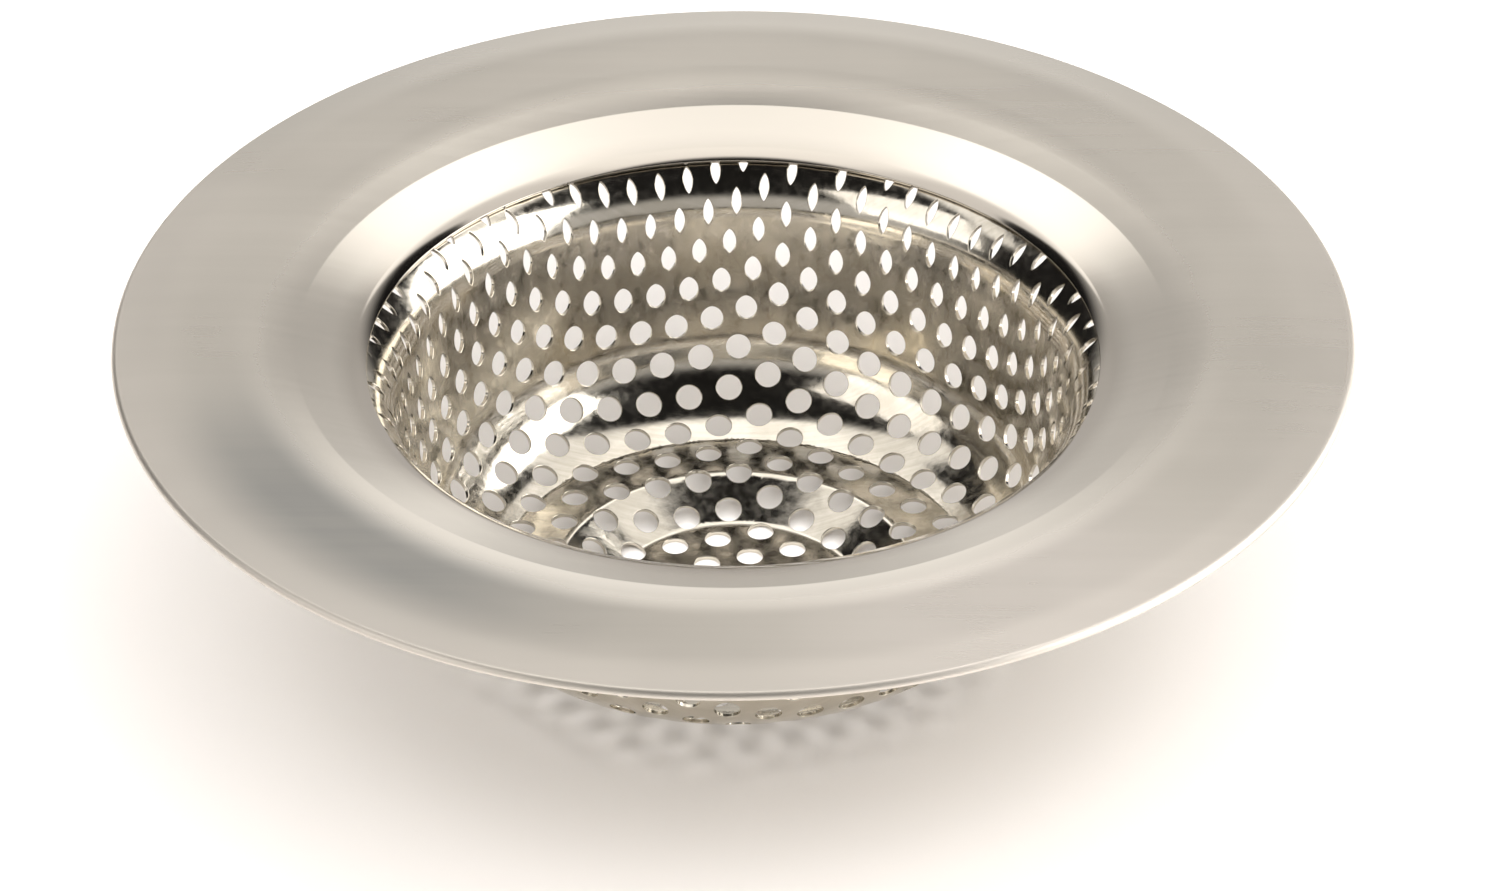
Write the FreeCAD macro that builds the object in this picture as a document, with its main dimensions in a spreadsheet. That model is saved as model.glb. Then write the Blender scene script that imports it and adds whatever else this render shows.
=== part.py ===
import FreeCAD, Part
import math
import os
from collections import namedtuple

import Sketcher

# A sink strainer: a wide steel rim, a drawn basket of perforated sheet under its collar,
# and the weld patches between the two. Sizes are millimetres and degrees.
# The origin is the middle of the basket's underside, with +Z up through the mouth.

# Driving dimensions, one row of the sheet each
SIZES = {
    # rim
    "brim_diameter": 114.0,
    "overall_height": 30.7,
    "rim_gauge": 0.5,
    "edge_radius": 0.6,
    "edge_drop": 0.35,
    "edge_depth": 0.7,
    "crown_radius": 25.0,
    "crown_reach": 5.5,
    "shoulder_radius": 15.0,
    "ramp_slope": 13.0,
    "ramp_length": 2.39,
    "crease_radius": 3.0,
    "collar_slope": 17.0,
    "collar_length": 5.19,
    "roll_radius": 6.7,
    "mouth_slope": 31.0,
    "mouth_diameter": 67.3,
    # basket
    "basket_gauge": 0.4,
    "wall_lean": 1.6,
    "corner_radius": 9.0,
    "heel_slope": 20.0,
    "heel_length": 1.29,
    "heel_radius": 1.0,
    "tread_width": 4.87,
    "step_run": 5.55,
    "step_depth": 2.75,
    "step_radius": 1.5,
    "lip_overlap": 5.75,
    "plain_margin": 2.5,
    # perforation of the flat blank
    "hole_diameter": 2.45,
    "hole_pitch": 4.195,
    "hole_closing": 26.0,
    "hole_stretch": 0.1,
    "lattice_angle": 15.7,
    "lattice_shift_across": -0.68,
    "lattice_shift_back": -1.53,
    # seam between collar and lip
    "seam_gap": 0.15,
    "weld_length": 1.8,
    "weld_sweep": 3.6,
    "weld_count": 8,
}

# Values worked out from the driving dimensions
PLACES = {
    "brim_radius": "dims.brim_diameter / 2",
    "edge_centre_radius": "brim_radius - dims.edge_radius",
    "edge_centre_height": "dims.overall_height - dims.edge_drop - dims.edge_radius",
    "edge_foot_height": "dims.overall_height - dims.edge_drop - dims.edge_depth",
    "crown_start_radius": "brim_radius - dims.crown_reach",
    "crown_centre_height": "dims.overall_height - dims.crown_radius",
    "mouth_radius": "dims.mouth_diameter / 2",
    "roll_centre_radius": "mouth_radius + dims.roll_radius * sin(dims.mouth_slope)",
    "crease_centre_radius": "roll_centre_radius + dims.collar_length * cos(dims.collar_slope)"
    " - (dims.roll_radius - dims.crease_radius) * sin(dims.collar_slope)",
    "shoulder_centre_radius": "crease_centre_radius + dims.ramp_length * cos(dims.ramp_slope)"
    " - (dims.crease_radius - dims.shoulder_radius) * sin(dims.ramp_slope)",
    "shoulder_centre_height": "dims.overall_height - dims.shoulder_radius",
    "crease_centre_height": "shoulder_centre_height - dims.ramp_length * sin(dims.ramp_slope)"
    " - (dims.crease_radius - dims.shoulder_radius) * cos(dims.ramp_slope)",
    "roll_centre_height": "crease_centre_height - dims.collar_length * sin(dims.collar_slope)"
    " - (dims.roll_radius - dims.crease_radius) * cos(dims.collar_slope)",
    "flare_radius": "dims.roll_radius - dims.rim_gauge - dims.seam_gap",
    "lip_start_radius": "roll_centre_radius - flare_radius * sin(dims.collar_slope)",
    "lip_start_height": "roll_centre_height + flare_radius * cos(dims.collar_slope)",
    "lip_radius": "mouth_radius + dims.lip_overlap",
    "corner_centre_radius": "roll_centre_radius - flare_radius - dims.wall_lean - dims.corner_radius",
    "tread_outer_radius": "corner_centre_radius - dims.heel_length * cos(dims.heel_slope)"
    " + (dims.corner_radius - dims.heel_radius) * sin(dims.heel_slope)",
    "tread_inner_radius": "tread_outer_radius - dims.tread_width",
    "disc_radius": "tread_inner_radius - dims.step_run",
    "disc_centre_height": "dims.basket_gauge + dims.step_radius",
    "step_centre_height": "dims.basket_gauge + dims.step_depth - dims.step_radius",
    "heel_centre_height": "dims.basket_gauge + dims.step_depth + dims.heel_radius",
    "corner_centre_height": "heel_centre_height + dims.heel_length * sin(dims.heel_slope)"
    " + (dims.corner_radius - dims.heel_radius) * cos(dims.heel_slope)",
    "weld_outer_radius": "lip_radius - (dims.plain_margin - dims.weld_length) / 2 * cos(dims.collar_slope)",
    "weld_outer_height": "lip_start_height + (weld_outer_radius - lip_start_radius) * tan(dims.collar_slope)",
}

# Sides of a path, and headings in a section
LEFT = 1
RIGHT = -1
OUTWARDS = 0.0
UPWARDS = math.pi / 2
# Point and geometry numbers of a sketch
START = 1
END = 2
CENTRE = 3
ORIGIN = -1
UPRIGHT_AXIS = -2
FULL_TURN = 360.0
# Length of a punch through the sheet, and the share by which a hole counts as round
PUNCH_REACH = 2.0
ROUND_HOLE = 0.002

# A bend of the sheet: the names of its centre's radius and height and of the bend radius
# on the drawn face, and the way it turns
Bend = namedtuple("Bend", "across up radius turn")
# A stretch of a face: where it starts, its heading there, its curvature and its length
Leg = namedtuple("Leg", "start heading curvature length")

# The rim's top face, from the foot of the outer edge inwards to the mouth at the collar's lower edge
RIM_BENDS = [
    Bend("edge_centre_radius", "edge_centre_height", "edge_radius", LEFT),
    Bend("crown_start_radius", "crown_centre_height", "crown_radius", LEFT),
    Bend("shoulder_centre_radius", "shoulder_centre_height", "shoulder_radius", LEFT),
    Bend("crease_centre_radius", "crease_centre_height", "crease_radius", LEFT),
    Bend("roll_centre_radius", "roll_centre_height", "roll_radius", LEFT),
]
# The basket's inner face, from the axis outwards to the lip under the collar
BASKET_BENDS = [
    Bend("disc_radius", "disc_centre_height", "step_radius", LEFT),
    Bend("tread_inner_radius", "step_centre_height", "step_radius", RIGHT),
    Bend("tread_outer_radius", "heel_centre_height", "heel_radius", LEFT),
    Bend("corner_centre_radius", "corner_centre_height", "corner_radius", LEFT),
    Bend("roll_centre_radius", "roll_centre_height", "flare_radius", RIGHT),
]

doc = FreeCAD.newDocument("sink_strainer")
sheet = doc.addObject("Spreadsheet::Sheet", "dims")
for row, (alias, number) in enumerate(SIZES.items(), start=1):
    sheet.set(f"A{row}", alias)
    sheet.set(f"B{row}", str(number))
    sheet.setAlias(f"B{row}", alias)
doc.recompute()

places = doc.addObject("App::VarSet", "places")
for name, formula in PLACES.items():
    places.addProperty("App::PropertyFloat", name)
    places.setExpression(name, formula)
doc.recompute()


def value(name):
    """The number that a dimension or a worked-out value holds now."""
    if name in PLACES:
        return getattr(places, name)
    return float(sheet.get(name))


def bound(name):
    """The expression that ties a size to a dimension or a worked-out value."""
    return f"places.{name}" if name in PLACES else f"dims.{name}"


def left_of(heading):
    return FreeCAD.Vector(-math.sin(heading), math.cos(heading), 0)


def along(leg, distance):
    """The point and heading at a distance along one leg."""
    if leg.curvature == 0:
        ahead = FreeCAD.Vector(math.cos(leg.heading), math.sin(leg.heading), 0)
        return leg.start + ahead * distance, leg.heading
    radius = 1 / leg.curvature
    heading = leg.heading + leg.curvature * distance
    centre = leg.start + left_of(leg.heading) * radius
    return centre - left_of(heading) * radius, heading


def face_legs(bends, offset, start, heading, stop_radius, lip_heading=None):
    """A face as straight and round legs, each tangent to the next.

    offset moves the face to the left of its path, or to the right where it is negative. The
    drawn face, the one with no offset, stops stop_radius from the axis: on the last bend, or on
    a straight lip after it where the lip has a heading.
    """
    legs = []
    point = start + left_of(heading) * offset
    for place, bend in enumerate(bends):
        centre = FreeCAD.Vector(value(bend.across), value(bend.up), 0)
        drawn_radius = bend.turn * value(bend.radius)
        radius = drawn_radius - offset
        touch = centre - left_of(heading) * radius
        legs.append(Leg(point, heading, 0, (touch - point).Length))
        if place + 1 < len(bends):
            after = bends[place + 1]
            step = FreeCAD.Vector(value(after.across), value(after.up), 0) - centre
            rise = (after.turn * value(after.radius) - drawn_radius) / step.Length
            leaving = math.atan2(step.y, step.x) - math.asin(rise)
        elif lip_heading is not None:
            leaving = lip_heading
        else:
            # A point of the bend lies its signed radius times its heading's sine from the centre
            lean = math.asin((stop_radius - centre.x) / drawn_radius)
            leaving = lean if math.cos(heading) > 0 else math.pi - lean
        sweep = math.remainder(leaving - heading, 2 * math.pi)
        legs.append(Leg(touch, heading, 1 / radius, sweep * radius))
        point, heading = along(legs[-1], legs[-1].length)
    if lip_heading is not None:
        lip_start = centre - left_of(heading) * drawn_radius
        legs.append(Leg(point, heading, 0, (stop_radius - lip_start.x) / math.cos(heading)))
    return legs


def draw_leg(sketch, leg):
    """Adds a leg; returns its number and which of its ends comes first and last."""
    finish, _ = along(leg, leg.length)
    if leg.curvature == 0:
        return sketch.addGeometry(Part.LineSegment(leg.start, finish), False), START, END
    middle, _ = along(leg, leg.length / 2)
    number = sketch.addGeometry(Part.Arc(leg.start, middle, finish), False)
    return (number, START, END) if leg.curvature > 0 else (number, END, START)


def dimension(sketch, kind, target, name):
    """Adds a measured constraint and ties it to the named size."""
    number = sketch.addConstraint(Sketcher.Constraint(kind, *target, value(name)))
    sketch.setExpression(f"Constraints[{number}]", bound(name))


def incline(sketch, line, name):
    """Sets a line at the named slope."""
    number = sketch.addConstraint(Sketcher.Constraint("Angle", line, math.radians(value(name))))
    sketch.setExpression(f"Constraints[{number}]", f"{bound(name)} * 1 deg")


def draw_sheet(sketch, bends, gauge, side, start, heading, stop_name, lip_slope=None):
    """Draws a bent sheet's section: the named face, the one a gauge to its side and both ends."""
    faces = []
    lip_heading = math.radians(value(lip_slope)) if lip_slope else None
    for offset in (0, side * value(gauge)):
        legs = face_legs(bends, offset, start, heading, value(stop_name), lip_heading)
        pieces = [draw_leg(sketch, leg) for leg in legs]
        for (first, _, last_end), (second, first_end, _) in zip(pieces, pieces[1:]):
            sketch.addConstraint(Sketcher.Constraint("Tangent", first, last_end, second, first_end))
        faces.append(pieces)
    drawn, hidden = faces
    for bend, drawn_arc, hidden_arc in zip(bends, drawn[1::2], hidden[1::2]):
        dimension(sketch, "DistanceX", (ORIGIN, START, drawn_arc[0], CENTRE), bend.across)
        dimension(sketch, "DistanceY", (ORIGIN, START, drawn_arc[0], CENTRE), bend.up)
        dimension(sketch, "Radius", (drawn_arc[0],), bend.radius)
        sketch.addConstraint(Sketcher.Constraint("Coincident", drawn_arc[0], CENTRE, hidden_arc[0], CENTRE))
        radius = value(bend.radius) - bend.turn * side * value(gauge)
        number = sketch.addConstraint(Sketcher.Constraint("Radius", hidden_arc[0], radius))
        sign = "-" if bend.turn == side else "+"
        sketch.setExpression(f"Constraints[{number}]", f"{bound(bend.radius)} {sign} {bound(gauge)}")
    add_end(sketch, drawn[0], hidden[0], 1, True)
    add_end(sketch, drawn[-1], hidden[-1], 2, bool(lip_slope))
    dimension(sketch, "DistanceX", (ORIGIN, START, drawn[-1][0], drawn[-1][2]), stop_name)
    if lip_slope:
        incline(sketch, drawn[-1][0], lip_slope)
    return drawn, hidden


def add_end(sketch, drawn, hidden, which, straight):
    """Closes the section square across the sheet at the given end of its first or last leg."""
    corners = [sketch.getPoint(leg[0], leg[which]) for leg in (drawn, hidden)]
    cap = sketch.addGeometry(Part.LineSegment(*corners), False)
    sketch.addConstraint(Sketcher.Constraint("Coincident", cap, START, drawn[0], drawn[which]))
    sketch.addConstraint(Sketcher.Constraint("Coincident", cap, END, hidden[0], hidden[which]))
    if straight:
        sketch.addConstraint(Sketcher.Constraint("Parallel", drawn[0], hidden[0]))
        sketch.addConstraint(Sketcher.Constraint("Perpendicular", cap, drawn[0]))
    else:
        sketch.addConstraint(Sketcher.Constraint("PointOnObject", drawn[0], CENTRE, cap))


def new_body(label):
    body = doc.addObject("PartDesign::Body", label)
    body.Label = label
    return body


def section_sketch(body, name):
    """A sketch on the body's upright plane: across is the radius, up is the height."""
    sketch = body.newObject("Sketcher::SketchObject", name)
    plane = next(item for item in body.Origin.OriginFeatures if item.Role == "XZ_Plane")
    sketch.AttachmentSupport = [(plane, "")]
    sketch.MapMode = "FlatFace"
    doc.recompute()
    return sketch


def revolve(body, sketch, name):
    """Turns a section once round the upright axis."""
    feature = body.newObject("PartDesign::Revolution", name)
    feature.Profile = sketch
    feature.ReferenceAxis = (sketch, ["V_Axis"])
    feature.Angle = FULL_TURN
    doc.recompute()
    return feature


# Rim: brim, turned-down edge and collar
rim = new_body("rim_flange")
rim_section = section_sketch(rim, "rim_section")
foot = FreeCAD.Vector(value("brim_radius"), value("edge_foot_height"), 0)
rim_faces = draw_sheet(rim_section, RIM_BENDS, "rim_gauge", LEFT, foot, UPWARDS, "mouth_radius")
outer_edge = rim_faces[0][0][0]
rim_section.addConstraint(Sketcher.Constraint("Vertical", outer_edge))
dimension(rim_section, "DistanceY", (ORIGIN, START, outer_edge, START), "edge_foot_height")
doc.recompute()
revolve(rim, rim_section, "rim_pressing")

# Basket blank: the drawn cup before its holes
cup = new_body("drawn_cup")
cup_section = section_sketch(cup, "cup_section")
floor_middle = FreeCAD.Vector(0, value("basket_gauge"), 0)
cup_faces = draw_sheet(
    cup_section, BASKET_BENDS, "basket_gauge", RIGHT, floor_middle, OUTWARDS, "lip_radius", "collar_slope"
)
floor_line = cup_faces[0][0][0]
cup_section.addConstraint(Sketcher.Constraint("Horizontal", floor_line))
cup_section.addConstraint(Sketcher.Constraint("PointOnObject", floor_line, START, UPRIGHT_AXIS))
doc.recompute()
revolve(cup, cup_section, "cup_drawing")


def walk(legs, distance):
    """The point and heading at a distance along a whole face."""
    for leg in legs:
        if distance <= leg.length:
            return along(leg, distance)
        distance -= leg.length
    return None


def lattice_points(reach):
    """Hole centres on the flat blank, on a triangular lattice within reach of its middle."""
    pitch = value("hole_pitch")
    angle = math.radians(value("lattice_angle"))
    shift = FreeCAD.Vector(value("lattice_shift_across"), value("lattice_shift_back"), 0)
    one = FreeCAD.Vector(math.cos(angle), math.sin(angle), 0) * pitch
    two = FreeCAD.Vector(math.cos(angle + math.pi / 3), math.sin(angle + math.pi / 3), 0) * pitch
    count = int(2 * reach / pitch)
    for i in range(-count, count + 1):
        for j in range(-count, count + 1):
            point = shift + one * i + two * j
            if point.Length < reach:
                yield point


def punch(point, legs):
    """The punch for one hole of the blank, where the drawing carries that hole.

    Lengths along the meridian stay as they were and the rings close up. The holes of a ring
    stay round at first, then close from side to side and grow a little taller.
    """
    diameter = value("hole_diameter")
    from_middle = point.Length
    place, heading = walk(legs, from_middle)
    ring_loss = 1 - place.x / from_middle
    width = diameter * math.exp(-value("hole_closing") * ring_loss ** 3)
    height = diameter + value("hole_stretch") * (diameter - width)
    turn = FreeCAD.Rotation(FreeCAD.Vector(0, 0, 1), math.degrees(math.atan2(point.y, point.x)))
    middle = turn.multVec(FreeCAD.Vector(place.x, 0, place.y))
    normal = turn.multVec(FreeCAD.Vector(-math.sin(heading), 0, math.cos(heading)))
    uphill = turn.multVec(FreeCAD.Vector(math.cos(heading), 0, math.sin(heading)))
    sideways = normal.cross(uphill)
    base = middle - normal * PUNCH_REACH / 2
    if math.isclose(width, height, rel_tol=ROUND_HOLE):
        outline = Part.Circle(base, normal, width / 2)
    else:
        outline = Part.Ellipse(base + uphill * height / 2, base + sideways * width / 2, base)
    return Part.Face(Part.Wire(outline.toShape())).extrude(normal * PUNCH_REACH)


# Perforation: every hole whose outline clears the plain margin of the lip
half_gauge = RIGHT * value("basket_gauge") / 2
lip_heading = math.radians(value("collar_slope"))
middle_legs = face_legs(BASKET_BENDS, half_gauge, floor_middle, OUTWARDS, value("lip_radius"), lip_heading)
blank_radius = sum(leg.length for leg in middle_legs)
perforated_reach = blank_radius - value("plain_margin") - value("hole_diameter")
punches = [punch(point, middle_legs) for point in lattice_points(perforated_reach)]
hole_punches = doc.addObject("Part::Feature", "hole_punches")
hole_punches.Shape = Part.makeCompound(punches)
hole_punches.Placement = FreeCAD.Placement()

basket = doc.addObject("Part::Cut", "strainer_basket")
basket.Label = "strainer_basket"
basket.Base = cup
basket.Tool = hole_punches
basket.Placement = FreeCAD.Placement()
doc.recompute()

# Weld patches in the seam, spaced round the plain margin of the lip
welds = new_body("spot_welds")
weld_section = section_sketch(welds, "weld_section")
uphill = FreeCAD.Vector(math.cos(lip_heading), math.sin(lip_heading), 0)
across = left_of(lip_heading) * value("seam_gap")
outer = FreeCAD.Vector(value("weld_outer_radius"), value("weld_outer_height"), 0)
inner = outer - uphill * value("weld_length")
corners = [inner, outer, outer + across, inner + across]
sides = [
    weld_section.addGeometry(Part.LineSegment(first, second), False)
    for first, second in zip(corners, corners[1:] + corners[:1])
]
for side, after in zip(sides, sides[1:] + sides[:1]):
    weld_section.addConstraint(Sketcher.Constraint("Coincident", side, END, after, START))
for side, after in zip(sides, sides[1:]):
    weld_section.addConstraint(Sketcher.Constraint("Perpendicular", side, after))
incline(weld_section, sides[0], "collar_slope")
dimension(weld_section, "DistanceX", (ORIGIN, START, sides[0], END), "weld_outer_radius")
dimension(weld_section, "DistanceY", (ORIGIN, START, sides[0], END), "weld_outer_height")
dimension(weld_section, "Distance", (sides[0],), "weld_length")
dimension(weld_section, "Distance", (sides[1],), "seam_gap")
doc.recompute()
weld_patch = revolve(welds, weld_section, "weld_patch")
weld_patch.setExpression("Angle", bound("weld_sweep"))
weld_patch.Midplane = True
weld_ring = welds.newObject("PartDesign::PolarPattern", "weld_ring")
weld_ring.Originals = [weld_patch]
weld_ring.Axis = (weld_section, ["V_Axis"])
weld_ring.Angle = FULL_TURN
weld_ring.setExpression("Occurrences", bound("weld_count"))
welds.Tip = weld_ring
doc.recompute()

# Every object is sound before any file is written
for item in doc.Objects:
    faults = {"Invalid", "Error"} & set(item.State)
    if faults:
        raise RuntimeError(f"{item.Label} is {', '.join(sorted(faults))}")

sub_parts = (rim, basket, welds)
for part in sub_parts:
    if part.Shape.isNull() or not part.Shape.isValid():
        raise RuntimeError(f"{part.Label} has no sound shape")

os.makedirs("parts", exist_ok=True)
for part in sub_parts:
    part.Shape.exportStep(os.path.join("parts", f"{part.Label}.step"))
    print(f"{part.Label}: {len(part.Shape.Solids)} solids, {part.Shape.Volume:.1f} mm3")
print(f"{len(punches)} holes in a blank of {2 * blank_radius:.1f} mm diameter")
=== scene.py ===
"""Looks of a steel sink strainer: rim, perforated basket, spot welds and a plain studio."""

import logging
import math
from dataclasses import dataclass, field
from enum import Enum
from typing import Any

import bpy
import numpy as np
from mathutils import Matrix, Vector
from mathutils.geometry import delaunay_2d_cdt


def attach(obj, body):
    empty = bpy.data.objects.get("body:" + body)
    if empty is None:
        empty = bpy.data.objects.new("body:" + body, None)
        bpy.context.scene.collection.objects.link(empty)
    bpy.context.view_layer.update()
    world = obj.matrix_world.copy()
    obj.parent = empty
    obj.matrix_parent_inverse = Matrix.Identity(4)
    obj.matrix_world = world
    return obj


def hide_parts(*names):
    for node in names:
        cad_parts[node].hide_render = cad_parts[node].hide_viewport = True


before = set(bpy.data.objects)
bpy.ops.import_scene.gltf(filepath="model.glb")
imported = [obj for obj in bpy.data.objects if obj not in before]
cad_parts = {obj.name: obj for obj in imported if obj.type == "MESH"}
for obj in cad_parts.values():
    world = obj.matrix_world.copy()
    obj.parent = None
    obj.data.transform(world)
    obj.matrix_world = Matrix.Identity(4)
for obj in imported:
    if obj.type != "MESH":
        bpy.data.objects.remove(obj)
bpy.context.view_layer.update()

MM = 0.001
TOLERANCE = 1e-6

Colour = tuple[float, float, float, float]
Point = tuple[float, float, float]
Range = tuple[float, float]

log = logging.getLogger("strainer")


class Slot(Enum):
    """The record's material slots."""

    SATIN = "satin_steel"
    POLISHED = "polished_steel"
    WELD = "weld_steel"


@dataclass(frozen=True)
class Leg:
    """One stretch of a sheet's section.

    Attributes:
        length: Its length along the middle of the sheet, in millimetres.
        turn: How far it turns to the left, in degrees; a straight leg has none.
    """

    length: float
    turn: float = 0.0


def straight(length: float) -> Leg:
    """A straight stretch of that length."""
    return Leg(length)


def bend(radius: float, turn: float) -> Leg:
    """A round stretch with that radius at the middle of the sheet; a right turn is negative."""
    return Leg(radius * math.radians(abs(turn)), turn)


class Section:
    """The middle line of a bent sheet, in radius and height, walked by its length."""

    def __init__(self, start: tuple[float, float], heading: float, legs: tuple[Leg, ...]) -> None:
        """Places the legs one after the other.

        Args:
            start: Radius and height of the first point, in millimetres.
            heading: Direction there, in degrees from outwards towards up.
            legs: The stretches, in order.
        """
        place, angle, gone = np.array(start), math.radians(heading), 0.0
        rows = []
        for leg in legs:
            curvature = math.radians(leg.turn) / leg.length
            rows.append((gone, place[0], place[1], angle, curvature))
            place = place + self._step(angle, curvature, leg.length)
            angle += curvature * leg.length
            gone += leg.length
        self.starts, self.radii, self.heights, self.headings, self.curvatures = np.array(rows).T
        self.length = gone
        self.knots = np.append(self.starts, gone)

    @staticmethod
    def _step(heading: Any, curvature: Any, distance: Any) -> np.ndarray:
        """The move along one leg, as radius and height."""
        half = np.asarray(curvature * distance / 2)
        chord = distance * np.sinc(half / math.pi)
        return np.array([chord * np.cos(heading + half), chord * np.sin(heading + half)])

    def at(self, distance: np.ndarray) -> tuple[np.ndarray, np.ndarray, np.ndarray]:
        """Finds points of the middle line.

        Args:
            distance: Distances from the first point, in millimetres.

        Returns:
            Radius, height and heading at each, in millimetres and radians.
        """
        leg = np.clip(np.searchsorted(self.starts, distance, side="right") - 1, 0, len(self.starts) - 1)
        along = distance - self.starts[leg]
        radius, height = self._step(self.headings[leg], self.curvatures[leg], along)
        heading = self.headings[leg] + self.curvatures[leg] * along
        return self.radii[leg] + radius, self.heights[leg] + height, heading

    def stations(self, pitch: float, turn: float) -> np.ndarray:
        """Distances that are close enough together to draw the line smoothly.

        Args:
            pitch: The widest step, in millimetres.
            turn: The widest turn in one step, in degrees.

        Returns:
            The distances, with every end of a leg among them.
        """
        marks = []
        for first, last, curvature in zip(self.knots, self.knots[1:], self.curvatures):
            angle = abs(math.degrees(curvature * (last - first)))
            count = max(1, math.ceil((last - first) / pitch), math.ceil(angle / turn))
            marks.append(np.linspace(first, last, count, endpoint=False))
        return np.append(np.concatenate(marks), self.length)


class Sheet:
    """A bent sheet turned about the upright axis: places and normals on it."""

    def __init__(self, section: Section, gauge: float) -> None:
        """Keeps the middle line and the thickness, both in millimetres."""
        self.section = section
        self.gauge = gauge

    def frame_at(self, distance: np.ndarray, azimuth: np.ndarray) -> tuple[np.ndarray, ...]:
        """Axes of the sheet.

        Args:
            distance: Distances along the section, in millimetres.
            azimuth: Angles about the axis, in radians.

        Returns:
            The point of the middle, the way along the section, the way round and the left normal.
        """
        radius, height, heading = self.section.at(distance)
        cos, sin, flat = np.cos(azimuth), np.sin(azimuth), np.zeros_like(azimuth)
        point = np.stack([radius * cos, radius * sin, height], -1)
        uphill = np.stack([np.cos(heading) * cos, np.cos(heading) * sin, np.sin(heading)], -1)
        around = np.stack([-sin, cos, flat], -1)
        normal = np.stack([-np.sin(heading) * cos, -np.sin(heading) * sin, np.cos(heading)], -1)
        return point, uphill, around, normal


class MeshDraft:
    """Points, normals and faces gathered for one mesh, in millimetres."""

    def __init__(self) -> None:
        """Starts empty."""
        self.points: list[np.ndarray] = []
        self.normals: list[np.ndarray] = []
        self.quads: list[np.ndarray] = []
        self.triangles: list[np.ndarray] = []
        self.count = 0

    def add_points(self, points: np.ndarray, normals: np.ndarray) -> np.ndarray:
        """Adds points with their normals.

        Args:
            points: Places, with x, y and z last.
            normals: Normals of the same shape.

        Returns:
            The new points' numbers, in the shape of the places.
        """
        flat = points.reshape(-1, 3)
        self.points.append(flat)
        self.normals.append(np.broadcast_to(normals, points.shape).reshape(-1, 3))
        numbers = np.arange(self.count, self.count + len(flat)).reshape(points.shape[:-1])
        self.count += len(flat)
        return numbers

    def bridge(self, first: np.ndarray, second: np.ndarray) -> None:
        """Joins closed rings of points by quads; the last axis runs round the ring."""
        after = [np.roll(ring, -1, axis=-1) for ring in (first, second)]
        self.quads.append(np.stack([first, after[0], after[1], second], -1).reshape(-1, 4))

    def add_triangles(self, triangles: np.ndarray) -> None:
        """Adds faces of three points each."""
        self.triangles.append(triangles.reshape(-1, 3))

    def build(self, name: str) -> bpy.types.Object:
        """Makes the mesh object, smooth and with the gathered normals.

        Args:
            name: The object's name.

        Returns:
            The object, linked to the scene.
        """
        faces = [np.concatenate(part) for part in (self.quads, self.triangles) if part]
        loops = np.concatenate([part.ravel() for part in faces])
        sizes = np.concatenate([np.full(len(part), part.shape[1]) for part in faces])
        mesh = bpy.data.meshes.new(name)
        mesh.vertices.add(self.count)
        mesh.vertices.foreach_set("co", (np.concatenate(self.points) * MM).ravel())
        mesh.loops.add(len(loops))
        mesh.loops.foreach_set("vertex_index", loops)
        mesh.polygons.add(len(sizes))
        mesh.polygons.foreach_set("loop_start", np.concatenate([[0], np.cumsum(sizes)[:-1]]))
        mesh.update(calc_edges=True)
        mesh.shade_smooth()
        normals = np.concatenate(self.normals)
        mesh.normals_split_custom_set_from_vertices(normals / np.linalg.norm(normals, axis=1)[:, None])
        piece = bpy.data.objects.new(name, mesh)
        bpy.context.scene.collection.objects.link(piece)
        return piece


class NodeSheet:
    """Adds nodes to a node tree and links them."""

    def __init__(self, tree: bpy.types.NodeTree) -> None:
        """Keeps the tree."""
        self.tree = tree

    def add(self, kind: str, inputs: dict[Any, Any] | None = None, **settings: Any) -> bpy.types.Node:
        """Adds a node.

        Args:
            kind: The node's type.
            inputs: For each input, by name or number, a value or the output that feeds it.
            **settings: Properties of the node.

        Returns:
            The node.
        """
        node = self.tree.nodes.new(kind)
        for name, setting in settings.items():
            setattr(node, name, setting)
        for socket, given in (inputs or {}).items():
            if isinstance(given, bpy.types.NodeSocket):
                self.tree.links.new(given, node.inputs[socket])
            else:
                node.inputs[socket].default_value = given
        return node

    def math(self, operation: str, first: Any, second: Any = 0.0) -> bpy.types.NodeSocket:
        """The result of a sum, product or other operation on two numbers."""
        return self.add("ShaderNodeMath", {0: first, 1: second}, operation=operation).outputs[0]

    def spread(self, value: Any, low: Any, high: Any, to_low: float, to_high: float) -> bpy.types.NodeSocket:
        """A value moved smoothly from one range to another, and held at its ends."""
        ranges = {0: value, 1: low, 2: high, 3: to_low, 4: to_high}
        return self.add("ShaderNodeMapRange", ranges, interpolation_type="SMOOTHSTEP").outputs[0]

    def tint(self, share: Any, first: Any, second: Any) -> bpy.types.NodeSocket:
        """A colour between two, by a share."""
        node = self.add("ShaderNodeMix", {0: share, 6: first, 7: second}, data_type="RGBA")
        return node.outputs[2]


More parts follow.
